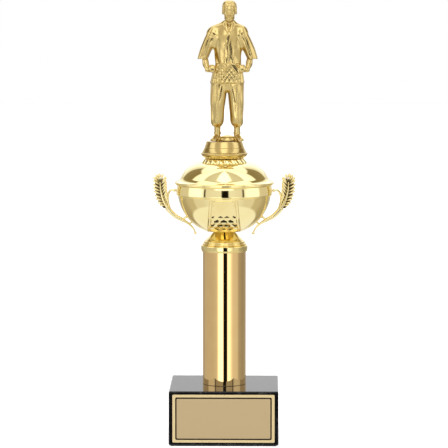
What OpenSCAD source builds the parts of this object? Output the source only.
// Column trophy: marble block, mirror-gold column, covered two-handled bowl and a standing figure.
// Origin at the middle of the underside, +Z up, engraving plate on the -Y face. Millimetres.

/* [Base] */
// Width and depth of the marble block
base_w = 100; // [90:1:130]
// Height of the top of the block above the table
base_h = 50.5; // [40:0.5:70]
// Bevel along the edges of the block
base_bevel = 1; // [0.5:0.1:2]
// Thickness of the felt sheet under the block
felt_t = 0.8; // [0.5:0.1:2]
// Marble left showing around the engraving plate
plate_margin = 3.3; // [2:0.1:8]
// Thickness of the engraving plate
plate_t = 0.5; // [0.4:0.1:1]

/* [Column] */
// Outer diameter of the column tube
column_d = 40; // [38:0.5:44]
// Wall of the column tube
column_wall = 1.2; // [0.8:0.1:2]
// Length of the column tube
column_len = 127.5; // [80:0.5:260]

/* [Bowl] */
// Outer diameter of the bowl just below its band
bowl_d = 85.8; // [82:0.2:92]
// Depth of the round part of the bowl, from its floor to the band
bowl_depth = 32.4; // [30:0.1:36]
// Wall of the bowl and of the lid
bowl_wall = 1.4; // [1.2:0.1:2]
// How far the front and back panels stand out
panel_raise = 0.5; // [0.3:0.1:0.8]
// Height of the lid above the rim of the bowl
lid_h = 18.8; // [18:0.2:20]

/* [Handles] */
// Thickness of the stalk and the loop
stalk_t = 3; // [2.4:0.2:4]
// Thickness of the leaf spray
spray_t = 6; // [4:0.5:8]

/* [Figure] */
// Height of the round pedestal under the figure
pedestal_h = 15.2; // [14:0.2:18]
// Radius of the top of the pedestal
pedestal_top_r = 16; // [15:0.5:17]
// Sideways place of the figure on its pedestal
figure_x = 2.6; // [0:0.1:3]

/* [Hidden] */
$fn = 96;
gold = [0.93, 0.80, 0.48];
satin_gold = [0.80, 0.66, 0.34];
rose_gold = [0.90, 0.70, 0.46];
zinc = [0.75, 0.75, 0.76];

// M6 fasteners
rod_r = 3;
nut_bore_r = 3.05;
rod_hole_r = 3.3;
nut_flats = 10;
nut_t = 5;
lock_t = 1.6;
lock_r = 5.9;

// Heights of the joints between the stacked parts
washer_z = 16;
base_washer_t = 1.6;
lock_z = washer_z - base_washer_t - lock_t;
base_nut_z = lock_z - nut_t;
column_top_z = base_h + column_len;
cap_rise = 14.8;
bowl_z = column_top_z + cap_rise;
band_h = 11.6;
rim_z = bowl_z + bowl_depth + band_h;
lid_top_z = rim_z + lid_h;
collar_h = 4;
collar_top_z = lid_top_z + collar_h;
figure_washer_t = 0.5;
pedestal_z = collar_top_z + figure_washer_t;
figure_z = pedestal_z + pedestal_h;

// Base
counterbore_r = 16;
base_hole_r = 4;
adhesive_t = 0.3;
plate_w = base_w - 2 * plate_margin - 0.4;
plate_h = base_h - felt_t - 2 * plate_margin + 0.9;
plate_z = (base_h + felt_t) / 2;

// Column
plug_h = 6;
plug_wall = 1.8;
plug_r = column_d / 2 - column_wall - 0.15;
ring_r = column_d / 2 + 1.5;
ring_drop = 4.3;
ring_rise = 1.6;
cap_top_r = 8.6;
cap_wall = 1.6;

// Bowl: its round part is one arc through the edge of the floor and the foot of the band
floor_r = 18.2;
floor_t = 1.6;
arc_z = 38;
groove_r = bowl_d / 2;
arc_x = (pow(groove_r, 2) + pow(arc_z - bowl_depth, 2) - pow(floor_r, 2) - pow(arc_z, 2))
  / (2 * (groove_r - floor_r));
arc_r = norm([floor_r - arc_x, arc_z]);
band_r = groove_r + 1.3;
mouth_r = band_r - bowl_wall - 0.1;
rim_r = groove_r + 3.1;
panel_top_z = bowl_depth - 1.4;

// Lid: a single arc above a hollow curve that spreads to the rim
lid_arc_x = 16.5;
lid_arc_z = -5.7;
lid_arc_r = 26.2;
spigot_h = 2.6;

// Handles: attachment points on the bowl, and the pegs through its wall
upper_peg_z = rim_z - 6.6;
lower_peg_angle = 37.5;
peg_r = 1.1;
peg_hole_r = 1.2;
peg_reach = 3.6;
lower_peg_x = arc_x + arc_r * cos(lower_peg_angle);
lower_peg_z = bowl_z + arc_z - arc_r * sin(lower_peg_angle);
retainer_t = 0.5;
retainer_r = 3;

// Figure
insert_flats = 8;
insert_h = 10;
boss_r = 6.5;
boss_h = 12;
foot_peg_r = 1.5;
foot_peg_x = 8.6;
foot_peg_h = 1.8;
ball = 20;

function arc(cx, cz, r, from, to, n) =
  [for (i = [0:n]) let (a = from + (to - from) * i / n) [cx + r * cos(a), cz + r * sin(a)]];

// Quadratic curve from p to q, pulled toward c
function bend(p, c, q, n) =
  [for (i = [0:n]) let (t = i / n) pow(1 - t, 2) * p + 2 * t * (1 - t) * c + t * t * q];

// Smooth curve through the inner points of a list
function spline_at(a, b, c, d, t) =
  0.5 * (2 * b + (c - a) * t + (2 * a - 5 * b + 4 * c - d) * t * t
    + (3 * b - a - 3 * c + d) * t * t * t);
function spline(p, n) = [
  for (i = [1:len(p) - 3]) for (k = [0:n - 1])
    spline_at(p[i - 1], p[i], p[i + 1], p[i + 2], k / n),
  p[len(p) - 2],
];

// Outline of a strip that follows a curve, with a half-width at each end
function side_of(p, i) =
  let (a = p[max(i - 1, 0)], b = p[min(i + 1, len(p) - 1)], d = b - a) [-d.y, d.x] / norm(d);
function width_at(p, i, w0, w1) = w0 + (w1 - w0) * i / (len(p) - 1);
function strip(p, w0, w1) = concat(
  [for (i = [0:len(p) - 1]) p[i] + side_of(p, i) * width_at(p, i, w0, w1)],
  [for (i = [len(p) - 1:-1:0]) p[i] - side_of(p, i) * width_at(p, i, w0, w1)]
);

module ring(r_out, r_in, h) {
  difference() {
    cylinder(r = r_out, h = h);
    translate([0, 0, -1]) cylinder(r = r_in, h = h + 2);
  }
}

// Block whose twelve edges are bevelled
module bevelled_block(w, h, b) {
  u = w / 2;
  face = [[-u + b, 0], [u - b, 0], [u, b], [u, h - b], [u - b, h], [-u + b, h], [-u, h - b], [-u, b]];
  plan = [
    [-u + b, -u], [u - b, -u], [u, -u + b], [u, u - b],
    [u - b, u], [-u + b, u], [-u, u - b], [-u, -u + b],
  ];
  intersection() {
    linear_extrude(h) polygon(plan);
    rotate([90, 0, 0]) translate([0, 0, -u]) linear_extrude(w) polygon(face);
    rotate([90, 0, 90]) translate([0, 0, -u]) linear_extrude(w) polygon(face);
  }
}

module hex_nut(h) {
  difference() {
    intersection() {
      cylinder(r = nut_flats / 2 / cos(30), h = h, $fn = 6);
      rotate_extrude() polygon([[0, 0], [5.1, 0], [5.9, 0.6], [5.9, h - 0.6], [5.1, h], [0, h]]);
    }
    translate([0, 0, -1]) cylinder(r = nut_bore_r, h = h + 2);
  }
}

module lock_washer() {
  difference() {
    ring(lock_r, nut_bore_r + 0.05, lock_t);
    translate([4.5, 0, lock_t / 2]) rotate([20, 0, 0]) cube([6, 0.7, 8], center = true);
  }
}

// Base ---------------------------------------------------------------------

module felt_base() {
  color("darkgreen") difference() {
    translate([-base_w / 2 + 2, -base_w / 2 + 2, 0]) cube([base_w - 4, base_w - 4, felt_t]);
    translate([0, 0, -1]) cylinder(r = counterbore_r + 1, h = felt_t + 2);
  }
}

module marble_base() {
  color([0.05, 0.05, 0.05]) difference() {
    translate([0, 0, felt_t]) bevelled_block(base_w, base_h - felt_t, base_bevel);
    translate([0, 0, felt_t - 1]) cylinder(r = base_hole_r, h = base_h + 2);
    translate([0, 0, felt_t - 1]) cylinder(r = counterbore_r, h = washer_z - felt_t + 1);
  }
}

module front_sheet(w, h, t, behind) {
  translate([-w / 2, -base_w / 2 - behind - t, plate_z - h / 2]) cube([w, t, h]);
}

module plate_adhesive() {
  color("gray") front_sheet(plate_w - 2, plate_h - 2, adhesive_t, 0);
}

module name_plate() {
  color([0.80, 0.72, 0.52]) front_sheet(plate_w, plate_h, plate_t, adhesive_t);
}

// Rod and its fasteners ----------------------------------------------------

module center_rod() {
  bottom = 5;
  top = pedestal_z + 8.2;
  color(zinc) translate([0, 0, bottom]) rotate_extrude() polygon([
    [0, 0], [rod_r - 0.6, 0], [rod_r, 0.6],
    [rod_r, top - bottom - 0.6], [rod_r - 0.6, top - bottom], [0, top - bottom],
  ]);
}

module base_nut() {
  color(zinc) translate([0, 0, base_nut_z]) hex_nut(nut_t);
}

module base_lock_washer() {
  color(zinc) translate([0, 0, lock_z]) lock_washer();
}

module base_washer() {
  color(zinc) translate([0, 0, washer_z - base_washer_t]) ring(15, 3.2, base_washer_t);
}

// Column -------------------------------------------------------------------

// Cup-shaped plug that keeps the tube centred on the rod
module tube_plug() {
  difference() {
    ring(plug_r, rod_hole_r, plug_h);
    translate([0, 0, plug_wall]) ring(plug_r - plug_wall, rod_hole_r + plug_wall, plug_h);
  }
}

module column_foot_plug() {
  color([0.15, 0.15, 0.15]) translate([0, 0, base_h]) tube_plug();
}

module column_head_plug() {
  color([0.15, 0.15, 0.15]) translate([0, 0, column_top_z]) mirror([0, 0, 1]) tube_plug();
}

module column_tube() {
  color(rose_gold) translate([0, 0, base_h])
    ring(column_d / 2, column_d / 2 - column_wall, column_len);
}

// Turned cap: a ring round the top of the tube, two beads and a bell up to the bowl
module column_cap() {
  shoulder = column_d / 2;
  bell_out = bend([shoulder - 2.4, 5.8], [14.4, 9.2], [cap_top_r, cap_rise], 12);
  bell_in = bend([cap_top_r - cap_wall, cap_rise - cap_wall], [12.6, 7.4], [shoulder - 2.4, 0], 12);
  color(gold) translate([0, 0, column_top_z]) rotate_extrude() polygon(concat(
    [[shoulder + 0.1, 0], [shoulder + 0.1, -ring_drop], [ring_r - 0.9, -ring_drop]],
    arc(ring_r - 0.9, -ring_drop + 0.6, 0.6, -90, 0, 4),
    [[ring_r - 0.3, -2.9], [ring_r, -2.6]],
    arc(ring_r - 0.7, ring_rise - 0.7, 0.7, 0, 90, 5),
    arc(shoulder - 0.6, ring_rise + 1, 0.8, -60, 110, 6),
    arc(shoulder - 1.8, ring_rise + 2.9, 0.9, -40, 110, 6),
    bell_out,
    [[rod_hole_r, cap_rise], [rod_hole_r, cap_rise - cap_wall]],
    bell_in
  ));
}

// Bowl ---------------------------------------------------------------------

// Outline of the round part of the bowl, from the floor to the band, grown by g
function bowl_side(g, from_z) = arc(
  arc_x, arc_z, arc_r + g,
  -asin((arc_z - from_z) / (arc_r + g)), -asin((arc_z - bowl_depth) / (arc_r + g)), 24
);
function flip(p) = [for (i = [len(p) - 1:-1:0]) p[i]];

// Skin over the round part of the bowl, cut to a tapered panel by the prism
module panel_skin(raise, bottom_w, top_w) {
  intersection() {
    rotate_extrude() polygon(concat(bowl_side(raise, 0), flip(bowl_side(-bowl_wall / 2, 0.4))));
    rotate([90, 0, 0]) linear_extrude(60) polygon([
      [-bottom_w / 2, -1], [bottom_w / 2, -1],
      [top_w / 2, panel_top_z], [-top_w / 2, panel_top_z],
    ]);
  }
}

module panel() {
  panel_skin(panel_raise / 2, 30.3, 25.4);
  for (side = [-1, 1]) panel_rib(side, 15, 12.5);
  for (side = [-1, 1]) panel_rib(side, 13.1, 9.4);
}

// Narrow raised line up one edge of a panel
module panel_rib(side, bottom_x, top_x) {
  rib = 0.45;
  intersection() {
    rotate_extrude() polygon(concat(bowl_side(panel_raise, 0), flip(bowl_side(-bowl_wall / 2, 0.4))));
    rotate([90, 0, 0]) linear_extrude(60) polygon([
      [side * bottom_x - rib, -1], [side * bottom_x + rib, -1],
      [side * top_x + rib, panel_top_z], [side * top_x - rib, panel_top_z],
    ]);
  }
}

module peg_place(side, upper) {
  if (upper)
    translate([side * band_r, 0, upper_peg_z]) rotate([0, side * -90, 0]) children();
  else
    translate([side * lower_peg_x, 0, lower_peg_z])
      rotate([0, side * (lower_peg_angle - 90), 0]) children();
}

module bowl() {
  color(gold) difference() {
    union() {
      translate([0, 0, bowl_z]) rotate_extrude() polygon(concat(
        [[rod_hole_r, 0]],
        bowl_side(0, 0),
        [[groove_r - 0.4, bowl_depth + 0.3], [band_r - 0.5, bowl_depth + 0.6]],
        arc(band_r - 5.8, bowl_depth + 5.6, 6.5, -43, 32, 8),
        [[band_r, bowl_depth + 10], [rim_r - 0.4, bowl_depth + 10.8], [rim_r - 0.4, bowl_depth + band_h]],
        [[mouth_r, bowl_depth + band_h], [mouth_r, bowl_depth + 1.4]],
        flip(bowl_side(-bowl_wall, floor_t)),
        [[rod_hole_r, floor_t]]
      ));
      translate([0, 0, bowl_z]) for (turn = [0, 180]) rotate([0, 0, turn]) panel();
    }
    for (side = [-1, 1]) for (upper = [true, false])
      peg_place(side, upper) translate([0, 0, -3]) cylinder(r = peg_hole_r, h = 8);
  }
}

module bowl_washer() {
  color(zinc) translate([0, 0, bowl_z + floor_t]) ring(12, 3.2, 1.2);
}

module bowl_lock_washer() {
  color(zinc) translate([0, 0, bowl_z + floor_t + 1.2]) lock_washer();
}

module bowl_nut() {
  color(zinc) translate([0, 0, bowl_z + floor_t + 1.2 + lock_t]) hex_nut(nut_t);
}

// Handles ------------------------------------------------------------------

// Flat outline standing in the X-Z plane, as thick as t
module upright(t, points) {
  rotate([90, 0, 0]) translate([0, 0, -t / 2]) linear_extrude(t) polygon(points);
}

// Right-hand handle, in heights above the floor of the bowl
module handle() {
  crook = spline([
    [54, 27], [52.4, 21], [45.5, 13.6], [38.8, 9.8], [32.6, 6], [28.4, 1.6], [26.8, -2.6], [27, -6],
  ], 6);
  loop = spline([
    [42, 36.4], [45.4, 37.2], [48.4, 37.7], [51.1, 35.2], [52.2, 29.6], [51.2, 23], [49.2, 17], [47, 14],
  ], 6);
  vein = [[52, 20.5], [56.5, 28.1], [58.8, 37.3], [59.6, 48]];
  spray = concat(
    bend(vein[0] + [-1, 1.2], vein[1] + [-4, 2], vein[2] + [-4.6, 1.6], 6),
    [[52.4, 50], [56, 52], [60.4, 53.9], [66.2, 53]],
    bend([65.3, 44], [64.4, 34], vein[0] + [1.4, -1], 8)
  );
  translate([0, 0, bowl_z]) {
    upright(stalk_t, strip(crook, 1.8, 1.2));
    upright(stalk_t * 0.8, strip(loop, 1.1, 1.2));
    upright(spray_t, spray);
    translate([26.8, 0, -2.6]) sphere(r = 1.6);
    translate([31.6, 0, 6.3]) rotate([0, 65, 0]) cylinder(r = 0.9, h = 2.4, center = true);
    for (i = [0:2])
      translate([38.9 + 2.2 * i, 0, 9.9 + 1.35 * i]) rotate([0, 58, 0])
        cylinder(r = 2.2, h = 1.2, center = true);
  }
  peg_place(1, true) {
    translate([0, 0, -3]) cylinder(r = 1.7, h = 2.2);
    translate([0, 0, -1]) cylinder(r = peg_r, h = peg_reach + 1);
  }
  peg_place(1, false) {
    translate([0, 0, -5]) cylinder(r = 1.3, h = 4.9);
    translate([0, 0, -1]) cylinder(r = peg_r, h = peg_reach + 1);
  }
}

module handle_right() {
  color(gold) handle();
}

module handle_left() {
  color(gold) mirror([1, 0, 0]) handle();
}

// Push-on retainers that grip the pegs inside the bowl
module handle_retainers() {
  color(zinc) for (side = [-1, 1]) for (upper = [true, false])
    peg_place(side, upper) translate([0, 0, bowl_wall + (upper ? 0.5 : 0.2)])
      ring(retainer_r, peg_r + 0.02, retainer_t);
}

// Lid and collar -----------------------------------------------------------

module lid() {
  lip_r = mouth_r - 0.2;
  inner_r = lid_arc_r - bowl_wall;
  dome_from = -asin((lid_arc_z - 4.6) / lid_arc_r);
  dome_to = asin((lid_h - lid_arc_z) / lid_arc_r);
  foot = lid_arc_x + lid_arc_r * cos(dome_from);
  color(gold) translate([0, 0, rim_z]) rotate_extrude() polygon(concat(
    [[lip_r - bowl_wall, -spigot_h], [lip_r, -spigot_h], [lip_r, 0], [rim_r, 0], [rim_r, 0.9]],
    bend([rim_r - 0.3, 1.2], [rim_r - 3.6, 1.9], [foot, 4.6], 8),
    arc(lid_arc_x, lid_arc_z, lid_arc_r, dome_from, dome_to, 24),
    [[rod_hole_r, lid_h], [rod_hole_r, lid_h - bowl_wall]],
    flip(arc(
      lid_arc_x, lid_arc_z, inner_r,
      asin((2.4 - lid_arc_z) / inner_r), asin((lid_h - bowl_wall - lid_arc_z) / inner_r), 20
    )),
    [[lip_r - bowl_wall, 1]]
  ));
}

// Ring of slanted lobes between the lid and the pedestal
module lid_collar() {
  lobes = 16;
  foot_r = 19.9;
  head_r = 17;
  lean = atan((foot_r - head_r) / collar_h);
  color(gold) translate([0, 0, lid_top_z]) difference() {
    union() {
      rotate_extrude() polygon([
        [0, 0], [foot_r, 0], [head_r, collar_h], [0, collar_h],
      ]);
      intersection() {
        for (i = [0:lobes - 1])
          rotate([0, 0, i * 360 / lobes]) translate([foot_r - 0.9, 0, 0])
            rotate([-22, -lean, 0]) cylinder(r = 2.5, h = 3 * collar_h, center = true);
        rotate_extrude() polygon([[14, 0], [23, 0], [23, collar_h], [14, collar_h]]);
      }
    }
    translate([0, 0, -1]) cylinder(r = rod_hole_r, h = collar_h + 2);
    translate([0, 0, -1]) cylinder(r = 13, h = 2.6);
  }
}

module figure_washer() {
  color("white") translate([0, 0, collar_top_z]) ring(9, 3.2, figure_washer_t - 0.05);
}

// Figure -------------------------------------------------------------------

// Hollow round pedestal with fine beads and a boss for the insert
module figure_base() {
  lip_r = 21.6;
  line_z = 9.4;
  line_r = pedestal_top_r + 2.2;
  color(satin_gold) translate([0, 0, pedestal_z]) difference() {
    rotate_extrude() polygon(concat(
      [[0, 0], [18.4, 0]],
      bend([18.7, 0.4], [20.8, 1.6], [lip_r - 0.1, 3.5], 6),
      arc(lip_r - 0.6, 4.1, 0.6, -20, 60, 5),
      [[20.7, 4.8], [20.5, 4.9], [20.5, 5.2], [20.8, 5.3]],
      bend([20.7, 5.4], [18.9, 7.8], [line_r, line_z], 8),
      [[line_r - 0.25, line_z + 0.1], [line_r - 0.25, line_z + 0.3], [line_r - 0.15, line_z + 0.4]],
      [[pedestal_top_r + 0.5, pedestal_h - 0.5], [pedestal_top_r + 0.1, pedestal_h], [0, pedestal_h]]
    ));
    difference() {
      translate([0, 0, -1]) cylinder(r1 = 16.6, r2 = 13.6, h = pedestal_h - 1.5);
      translate([0, 0, -1]) cylinder(r = boss_r, h = pedestal_h);
    }
    translate([0, 0, -1])
      cylinder(r = insert_flats / 2 / cos(30), h = insert_h + 1, $fn = 6);
    translate([0, 0, -1]) cylinder(r = rod_hole_r, h = boss_h + 1);
    for (side = [-1, 1])
      translate([figure_x + side * foot_peg_x, 1, pedestal_h - foot_peg_h])
        cylinder(r = foot_peg_r + 0.1, h = foot_peg_h + 1);
  }
}

module figure_insert() {
  color([0.80, 0.65, 0.30]) translate([0, 0, pedestal_z]) difference() {
    cylinder(r = insert_flats / 2 / cos(30), h = insert_h, $fn = 6);
    translate([0, 0, -1]) cylinder(r = nut_bore_r, h = insert_h + 2);
  }
}

module blob(p, r, squash = 1) {
  translate(p) scale([1, squash, 1]) sphere(r = r, $fn = ball);
}

module limb(a, ra, b, rb) {
  hull() {
    blob(a, ra);
    blob(b, rb);
  }
}

// One leg: foot, ankle and loose trouser leg; side is -1 or 1
module leg(side) {
  hull() {
    blob([side * 9.0, 5, 2.2], 2.5);
    blob([side * 12.6, -4.4, 2], 3);
    blob([side * 12.9, -7.4, 1.6], 2);
  }
  limb([side * 9.0, 3.6, 3], 2.8, [side * 9.2, 2.4, 16], 3.2);
  hull() {
    translate([side * 9.5, 1, 14.8]) scale([1, 1.15, 1]) cylinder(r = 5.6, h = 1, $fn = ball);
    blob([side * 8.7, -0.4, 34], 6.2);
  }
  hull() {
    blob([side * 8.7, -0.4, 34], 6.2);
    blob([side * 7.6, 0.4, 52], 7.4);
  }
}

// One arm: wide sleeve, forearm and a fist on the belt
module arm(side) {
  hull() {
    blob([side * 13.4, 0.4, 98.6], 5.2, 1.15);
    translate([side * 22.6, 0.4, 75.6]) rotate([0, side * -14, 0])
      scale([1, 1.2, 1]) cylinder(r = 4.7, h = 2, $fn = ball);
  }
  limb([side * 21, 0, 77], 2.9, [side * 18, -4.2, 65.2], 2.5);
  limb([side * 18, -4.2, 65.2], 2.5, [side * 12.6, -7.6, 66.6], 3);
}

// Standing figure in a short-sleeved jacket and loose trousers, fists at the belt
module figure() {
  color(satin_gold) translate([figure_x, 0, figure_z]) {
    intersection() {
      union() {
        for (side = [-1, 1]) leg(side);
        translate([0, 3.6, 0]) scale([9, 7.4, 5.3]) sphere(r = 1, $fn = 40);
        hull() {
          blob([0, 0.4, 48], 3.6, 1.6);
          for (side = [-1, 1]) blob([side * 6, 0.4, 52], 6, 1.2);
        }
      }
      translate([-30, -20, 0]) cube([60, 40, 80]);
    }
    hull() for (side = [-1, 1]) {
      blob([side * 8.6, 0.6, 56], 6.8, 1.2);
      blob([side * 5.4 + 0.6, 0.6, 69], 6.4, 1.1);
    }
    hull() for (side = [-1, 1]) {
      blob([side * 5.4 + 0.8, 0.4, 72], 6, 1.15);
      blob([side * 6.6 + 0.6, 0, 92], 7, 1.2);
    }
    hull() {
      for (side = [-1, 1]) {
        blob([side * 6.6 + 0.6, 0, 92], 7, 1.2);
        blob([side * 12.2 + 0.8, 0.6, 100], 4.8, 1.15);
      }
      blob([1.8, 1, 106], 4.6);
    }
    for (side = [-1, 1]) {
      limb([side * 11.6 + 0.9, 0.4, 97], 5, [side * 13.6 + 0.7, 0.4, 88.4], 3.8);
      arm(side);
    }
    limb([1.8, 1, 104], 4.8, [2, 0, 112], 4.2);
    hull() {
      blob([2.1, -0.8, 112], 4);
      blob([2.1, 0, 119], 6.6, 1.15);
      blob([2.1, 0.6, 122.8], 6.4, 1.2);
    }
    for (side = [-1, 1])
      translate([side * foot_peg_x, 1, -foot_peg_h + 0.2]) cylinder(r = foot_peg_r, h = 3);
  }
}

felt_base();
marble_base();
plate_adhesive();
name_plate();
center_rod();
base_nut();
base_lock_washer();
base_washer();
column_foot_plug();
column_tube();
column_head_plug();
column_cap();
bowl();
handle_left();
handle_right();
handle_retainers();
bowl_washer();
bowl_lock_washer();
bowl_nut();
lid();
lid_collar();
figure_washer();
figure_base();
figure_insert();
figure();
